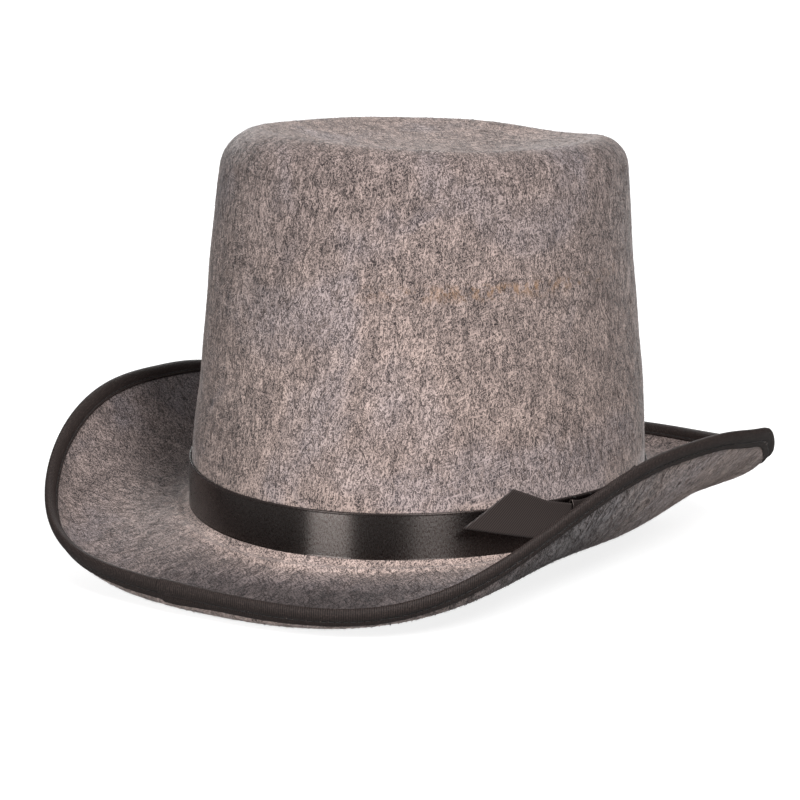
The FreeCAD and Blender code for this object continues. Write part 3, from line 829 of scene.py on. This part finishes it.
def stitch_row(back, lift):
    """Stitches along the brim edge at one distance from the fold."""
    around = edge_length_table(0.0, TURN, 10)[1][-1]
    count = int(around / STITCH_PITCH)
    t = edge_length_table(0.0, TURN, count + 1)[0][:-1]
    centres = at_edge(t, back, lift)
    ahead = at_edge(t + 0.004, back, lift) - at_edge(t - 0.004, back, lift)
    return centres, ahead, np.full(count, STITCH_LENGTH)


def make_binding_stitches():
    """Needle thread above, bobbin thread on the outer face, and thread ends at the ribbon's lap."""
    above = stitch_row(*NEEDLE_LINE)
    below = stitch_row(*BOBBIN_LINE)
    tuft_angle = JOINT_ANGLE + np.array([0.0, 0.004, -0.003])
    tuft_roots = at_edge(tuft_angle, np.array([7.0, 7.6, 7.9]), np.array([2.6, 3.0, 2.4]))
    tuft_ways = at_edge(tuft_angle, 8.0, 3.6) - at_edge(tuft_angle + 0.006, 6.0, 2.0)
    tuft = (tuft_roots, tuft_ways, np.array([3.0, 4.0, 2.6]))
    sets = [np.concatenate([a, b, c]) for a, b, c in zip(above, below, tuft)]
    seam = tubes(*sets, THREAD_RADIUS)
    add_mesh("binding_seam", *seam, THREAD_LOOK, "black_thread", ["binding_stitches"])


make_binding_stitches()


# ------------------------------------------------------------------ hat band
def band_point(t, height, stand):
    """Point on the crown's foot, standing off by a distance; height counts from the band's lower edge."""
    lift = base_lift(t)
    normal_x = np.cos(t) / BASE_X
    normal_y = np.sin(t) / BASE_Y
    size = np.hypot(normal_x, normal_y)
    x = BASE_X * np.cos(t) + normal_x / size * stand
    y = BASE_Y * np.sin(t) + normal_y / size * stand
    return np.stack(np.broadcast_arrays(x, y, BAND_LOW + lift + height), -1)


# the satin's grain is drawn out across the ribbon by one over this share
GRAIN_SHARE = 0.4
PICOTS = 1400


def make_band():
    """Satin ribbon round the crown, with a thin corded selvedge on both edges."""
    columns = 2200
    t = (np.arange(columns) / columns * TURN)[:, None]
    profile = [(0.0, 0.55), (0.25, 0.80), (0.7, 0.86), (1.0, 0.72), (1.3, 0.74), (4.0, 0.80), (10.0, 0.86),
               (16.0, 0.82), (18.7, 0.78), (19.0, 0.76), (19.3, 0.92), (19.75, 0.88), (20.0, 0.60)]
    profile = np.array(profile)
    height = profile[None, :, 0] * BAND_WIDTH / 20.0
    stand = profile[None, :, 1] + 0 * t
    edge = np.clip(np.abs(profile[:, 0] - 10.0) - 8.9, 0, 1)
    picot = 0.14 * np.sin(t * PICOTS)
    slack = 0.35 * (0.5 + 0.5 * np.sin(3 * t + 1.0)) * (profile[None, :, 0] / 20.0) ** 2
    outer = band_point(t, height + picot * np.sign(profile[None, :, 0] - 10) * edge, stand + slack)
    inner = band_point(t, height, stand + slack - RIBBON)
    ring = np.concatenate([outer, inner[:, ::-1]], 1)
    rows = ring.shape[1]
    arc = np.concatenate([[0.0], np.cumsum(np.linalg.norm(np.diff(outer[:, 6], axis=0), axis=1))])
    up_ring = np.concatenate([height[0], height[0, ::-1]])[None]
    weave = np.stack(np.broadcast_arrays(arc[:, None], up_ring * GRAIN_SHARE, 0 * t), -1)
    selvedge = np.repeat(np.concatenate([edge, edge[::-1]])[None], columns, 0)
    add_mesh("satin_hat_band", ring.reshape(-1, 3), quads(columns, rows, True, True), SATIN_LOOK,
             "black_satin", ["hat_band"], {"weave": weave.reshape(-1, 3), "selvedge": selvedge.ravel()})


make_band()


# ------------------------------------------------------------------ bow
KNOT_ANGLE = math.radians(-8)
SHEET_RADIUS = 180.0
KNOT_HALF_LENGTH = 7.0
KNOT_HALF_HEIGHT = 10.2
KNOT_HALF_DEPTH = 1.7
# the knot's middle, below and outside the bow's origin
KNOT_DROP = 1.25
KNOT_OFF = 0.5


def bow_frame():
    """Origin and axes of the bow: forward along the band, up, and away from the crown."""
    out = Vector((math.cos(KNOT_ANGLE) / BASE_X, math.sin(KNOT_ANGLE) / BASE_Y, 0)).normalized()
    forward = Vector((out.y, -out.x, 0))
    stand = 2.4
    origin = Vector(((BASE_X + stand) * math.cos(KNOT_ANGLE), (BASE_Y + stand) * math.sin(KNOT_ANGLE),
                     BAND_LOW + BAND_WIDTH / 2))
    return np.array(origin), np.array(forward), np.array(out)


BOW_ORIGIN, BOW_FORWARD, BOW_OUT = bow_frame()


def on_sheet(along, up, off):
    """Point on the gently curved sheet that the ribbon ends lie in."""
    angle = along / SHEET_RADIUS
    radius = SHEET_RADIUS + off
    flat = (BOW_ORIGIN - BOW_OUT * SHEET_RADIUS)[None]
    way = BOW_OUT * np.cos(angle)[..., None] + BOW_FORWARD * np.sin(angle)[..., None]
    spot = flat + radius[..., None] * way
    spot[..., 2] = BOW_ORIGIN[2] + up
    return spot


def make_tail(name, node, lower, upper):
    """Ribbon end between a lower and an upper edge line, cut off slanting, dull side out."""
    lower = np.array(lower, float)
    upper = np.array(upper, float)
    columns = 60
    rows = 18
    share = np.linspace(0, 1, columns)

    def walk(line):
        steps = np.concatenate([[0.0], np.cumsum(np.linalg.norm(np.diff(line, axis=0), axis=1))])
        even = share * steps[-1]
        return np.stack([np.interp(even, steps, line[:, 0]), np.interp(even, steps, line[:, 1])], -1)

    low = walk(lower)
    high = walk(upper)
    across = np.linspace(0, 1, rows)
    flat = low[:, None] * (1 - across[None, :, None]) + high[:, None] * across[None, :, None]
    along = flat[..., 0]
    up = flat[..., 1]
    ripple = 0.5 * np.sin(across[None] * math.pi * 2 + 0.4) * np.exp(-np.abs(along) / 14.0)
    curl = 0.9 * (share[:, None] ** 3) * (across[None] - 0.4)
    front = on_sheet(along, up, RIBBON + ripple + curl)
    back = on_sheet(along, up, ripple + curl)
    points = np.concatenate([front.reshape(-1, 3), back.reshape(-1, 3)])
    count = columns * rows
    one = np.array(quads(columns, rows, False, False))
    faces = one.tolist() + (one[:, ::-1] + count).tolist()
    rim = [(i, 0) for i in range(columns)] + [(columns - 1, j) for j in range(1, rows)]
    rim += [(i, rows - 1) for i in range(columns - 2, -1, -1)] + [(0, j) for j in range(rows - 2, 0, -1)]
    ids = [i * rows + j for i, j in rim]
    for k, first in enumerate(ids):
        second = ids[(k + 1) % len(ids)]
        faces.append((first, first + count, second + count, second))
    weave = np.stack([along, up, 0 * up], -1).reshape(-1, 3)
    add_mesh(name, points, faces, SATIN_BACK_LOOK, "black_satin_back", [node],
             {"weave": np.concatenate([weave, weave])})


make_tail("bow_tail_front", "bow_front_tail",
          [(1.0, -8.5), (29.8, -3.9), (61.7, 3.4)],
          [(1.0, 6.0), (19.6, 10.1), (38.7, 17.6)])
make_tail("bow_tail_rear", "bow_rear_tail",
          [(-1.0, -8.5), (-28.0, -5.5), (-52.0, -1.0)],
          [(-1.0, 6.0), (-19.0, 10.0), (-37.0, 16.0)])


def make_knot():
    """Short ribbon wrapped over the roots of the tails, gathered in the middle."""
    columns = 28
    around = 48
    share = np.linspace(-1, 1, columns)[:, None]
    angle = (np.arange(around) / around * TURN)[None]
    gather = 1 - 0.10 * (1 - share ** 2)
    bulge = 0.25 * (1 - share ** 2)
    pleat = 0.22 * np.sin(angle * 9 + 0.5) * (1 - 0.4 * share ** 2)

    def layer(sunk):
        tall = (KNOT_HALF_HEIGHT - sunk) * gather + 0 * angle
        up = -KNOT_DROP + tall * soft_power(np.sin(angle), 0.6)
        off = KNOT_OFF + (KNOT_HALF_DEPTH - sunk + bulge + pleat) * soft_power(np.cos(angle), 0.8)
        along = KNOT_HALF_LENGTH * share + 0 * angle
        spot = BOW_ORIGIN + along[..., None] * BOW_FORWARD + off[..., None] * BOW_OUT
        spot[..., 2] = BOW_ORIGIN[2] + up
        return spot, up

    outer, up = layer(0.0)
    inner, _ = layer(RIBBON)
    shell = np.concatenate([outer, inner[::-1]], 0)
    weave = np.stack([3.0 * share + 0 * angle, up, 0 * up], -1)
    weave = np.concatenate([weave, weave[::-1]], 0)
    faces = quads(2 * columns, around, True, True)
    add_mesh("bow_knot_wrap", shell.reshape(-1, 3), faces, SATIN_LOOK, "black_satin", ["bow_knot"],
             {"weave": weave.reshape(-1, 3), "selvedge": np.full(shell.shape[0] * around, 0.7)})


make_knot()


def make_tacks():
    """Thread tacks at the corners of the knot."""
    centres = []
    directions = []
    for along in (-5.0, 5.0):
        for up in (-12.0, 9.6):
            centres.append(BOW_ORIGIN + BOW_FORWARD * along + BOW_OUT * 0.2 + np.array([0, 0, up]))
            directions.append(BOW_OUT + 0.3 * BOW_FORWARD)
    tacks = tubes(np.array(centres), np.array(directions), np.full(4, 2.4), 0.24)
    add_mesh("bow_tacks", *tacks, THREAD_LOOK, "black_thread", ["bow_tack_stitches"])


make_tacks()


# ------------------------------------------------------------------ sweatband and label
def inside_point(t, height, inset):
    """Point on the inside of the crown, inset from the felt's outer face; height from the opening."""
    half_x, half_y = crown_half_sizes(np.maximum(height, 0.0))
    scale_x = half_x - inset
    scale_y = half_y - inset
    lift = base_lift(t) * np.clip(1 - height / 60, 0, 1)
    return np.stack(np.broadcast_arrays(scale_x * np.cos(t), scale_y * np.sin(t), height + lift), -1)


SWEAT_RIBS = 560
SWEAT_STITCHES = 190
SWEAT_SEAM_INSET = 3.32


def make_sweatband():
    """Ribbed ribbon sewn along its lower edge inside the head opening."""
    columns = 2400
    t = (np.arange(columns) / columns * TURN)[:, None]
    low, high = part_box("sweatband")
    foot = low[2] / METRE
    tall = (high[2] - low[2]) / METRE
    profile = np.array([(0.0, 2.75), (0.01, 3.0), (0.03, 3.15), (0.07, 3.05), (0.3, 3.1), (0.6, 3.2),
                        (0.9, 3.1), (0.97, 3.1), (1.0, 2.9)])
    height = foot + tall * profile[None, :, 0]
    rib = np.abs(np.sin(t * SWEAT_RIBS))
    slack = 0.3 * np.sin(5 * t + 0.5) * profile[None, :, 0] ** 2 + 0.25 * profile[None, :, 0]
    front = inside_point(t, height, profile[None, :, 1] + slack + 0.06 * rib)
    back = inside_point(t, height, profile[None, :, 1] + slack - RIBBON)
    ring = np.concatenate([front, back[:, ::-1]], 1)
    rows = ring.shape[1]
    add_mesh("sweatband_ribbon", ring.reshape(-1, 3), quads(columns, rows, True, True), SWEAT_LOOK,
             "sweatband_ribbon", ["sweatband"], {"rib": np.repeat(rib, rows, 1).ravel()})


def make_sweatband_seam():
    """Stitches round the lower edge of the sweatband."""
    angle = np.arange(SWEAT_STITCHES) / SWEAT_STITCHES * TURN
    height = middle("sweatband_stitches", 2)

    def seam_point(turn):
        return inside_point(turn, height + 0 * turn, SWEAT_SEAM_INSET)

    ahead = seam_point(angle + 0.01) - seam_point(angle - 0.01)
    seam = tubes(seam_point(angle), ahead, np.full(SWEAT_STITCHES, 2.3), 0.18)
    add_mesh("sweatband_seam", *seam, THREAD_LOOK, "black_thread", ["sweatband_stitches"])


make_sweatband()
make_sweatband_seam()


def make_label():
    """Blank woven label sewn to the sweatband at the back, with folded ends."""
    low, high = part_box("size_tag")
    foot = low[2] / METRE
    tall = (high[2] - low[2]) / METRE
    half = (high[0] - low[0]) / 2 / METRE
    columns = 30
    rows = 40
    across = np.linspace(-1, 1, columns)[:, None]
    share = np.linspace(0, 1, rows)[None]
    t = math.pi / 2 - across * half / BASE_X
    height = foot + tall * share
    puff = 0.35 * np.sin(share * math.pi) * (1 - 0.3 * across ** 2)
    hem = 0.16 * (np.clip((np.abs(share - 0.5) - 0.42) / 0.03, 0, 1))
    front = inside_point(t + 0 * share, height + 0 * across, 3.75 + puff + hem)
    back = inside_point(t + 0 * share, height + 0 * across, 3.50 + puff)
    shell = np.concatenate([front, back[::-1]], 0)
    weave = np.stack([across * half + 0 * share, height + 0 * across, 0 * share + 0 * across], -1)
    weave = np.concatenate([weave, weave[::-1]], 0)
    add_mesh("size_label", shell.reshape(-1, 3), quads(2 * columns, rows, True, False), LABEL_LOOK,
             "white_label", ["size_tag"], {"weave": weave.reshape(-1, 3)})


make_label()

for node in ("brim_wire", "wire_joiner"):
    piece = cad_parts[node]
    piece.data.materials.clear()
    piece.data.materials.append(STEEL_LOOK)


# ------------------------------------------------------------------ floor, light and camera
def floor_material():
    """Pale studio floor."""
    n = Nodes("studio_floor")
    seen = n.add("ShaderNodeLightPath").outputs["Is Camera Ray"]
    place = n.add("ShaderNodeTexCoord").outputs["Object"]
    far = n.add("ShaderNodeVectorMath", {"Vector": place}, operation="LENGTH").outputs["Value"]
    glow = n.math("ADD", 0.84, n.math("MULTIPLY", n.step(far, 0.3, 1.4), 0.16))
    n.surface(Base_Color=(0.40, 0.40, 0.40, 1.0), Roughness=0.9, Emission_Color=(1.0, 1.0, 1.0, 1.0),
              Emission_Strength=n.math("MULTIPLY", seen, glow), Specular_IOR_Level=0.0)
    return n.material


def make_floor():
    """Large pale plane under the hat."""
    low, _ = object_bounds()
    half = 6.0
    mesh = bpy.data.meshes.new("floor")
    corners = [(-half, -half, 0), (half, -half, 0), (half, half, 0), (-half, half, 0)]
    mesh.from_pydata(corners, [], [(0, 1, 2, 3)])
    mesh.materials.append(floor_material())
    floor = bpy.data.objects.new("floor", mesh)
    floor.location.z = low.z - 0.0005
    bpy.context.scene.collection.objects.link(floor)


def direction(azimuth, elevation):
    """Unit vector from the hat towards a viewer; azimuth 0 is in front, growing to the wearer's left."""
    a = math.radians(azimuth)
    e = math.radians(elevation)
    return Vector((math.sin(a) * math.cos(e), -math.cos(a) * math.cos(e), math.sin(e)))


VIEW_AZIMUTH = 35.2
VIEW_ELEVATION = 13.3
VIEW_ROLL = math.radians(-1.23)
VIEW_DISTANCE = 2.5
VIEW_LENS = 267.6
VIEW_SHIFT = (-0.0228, 0.1298)


def add_light(name, azimuth, elevation, distance, width, height, power):
    """Soft box aimed at the crown."""
    data = bpy.data.lights.new(name, "AREA")
    data.shape = "RECTANGLE"
    data.size = width
    data.size_y = height
    data.energy = power
    light = bpy.data.objects.new(name, data)
    aim = Vector((0, 0, 0.06))
    light.location = aim + direction(azimuth, elevation) * distance
    light.rotation_mode = "QUATERNION"
    light.rotation_quaternion = direction(azimuth, elevation).to_track_quat("Z", "Y")
    bpy.context.scene.collection.objects.link(light)


def make_camera():
    """Long lens at the viewing angle, very slightly rolled."""
    back = direction(VIEW_AZIMUTH, VIEW_ELEVATION)
    right = Vector((math.cos(math.radians(VIEW_AZIMUTH)), math.sin(math.radians(VIEW_AZIMUTH)), 0))
    up = back.cross(right)
    rolled_right = right * math.cos(VIEW_ROLL) - up * math.sin(VIEW_ROLL)
    rolled_up = up * math.cos(VIEW_ROLL) + right * math.sin(VIEW_ROLL)
    data = bpy.data.cameras.new("camera")
    data.sensor_width = 36.0
    data.lens = VIEW_LENS
    data.shift_x = VIEW_SHIFT[0]
    data.shift_y = VIEW_SHIFT[1]
    data.clip_end = 50.0
    camera = bpy.data.objects.new("camera", data)
    turn = Matrix((rolled_right, rolled_up, back)).transposed().to_4x4()
    camera.matrix_world = Matrix.Translation(back * VIEW_DISTANCE) @ turn
    bpy.context.scene.collection.objects.link(camera)
    bpy.context.scene.camera = camera


def make_world():
    """White backdrop that the camera sees, and faint light from all round."""
    world = bpy.data.worlds.new("studio")
    bpy.context.scene.world = world
    world.use_nodes = True
    backdrop = world.node_tree.nodes["Background"]
    backdrop.inputs["Color"].default_value = (1.0, 1.0, 1.0, 1.0)
    ray = world.node_tree.nodes.new("ShaderNodeLightPath")
    strength = world.node_tree.nodes.new("ShaderNodeMapRange")
    strength.inputs["To Min"].default_value = 0.04
    strength.inputs["To Max"].default_value = 1.0
    world.node_tree.links.new(ray.outputs["Is Camera Ray"], strength.inputs["Value"])
    world.node_tree.links.new(strength.outputs["Result"], backdrop.inputs["Strength"])


make_floor()
make_camera()
# azimuth and elevation in degrees, distance, width and height in metres, power in watts
add_light("soft_box_left", VIEW_AZIMUTH - 32, 9, 2.2, 0.85, 1.5, 44)
add_light("soft_box_right", VIEW_AZIMUTH + 24, 38, 2.4, 0.7, 0.9, 76)
add_light("soft_box_rear", VIEW_AZIMUTH + 185, 24, 2.4, 1.6, 1.0, 34)
add_light("overhead", VIEW_AZIMUTH, 78, 2.0, 1.6, 1.6, 12)
make_world()
bpy.context.scene.view_settings.view_transform = "Standard"
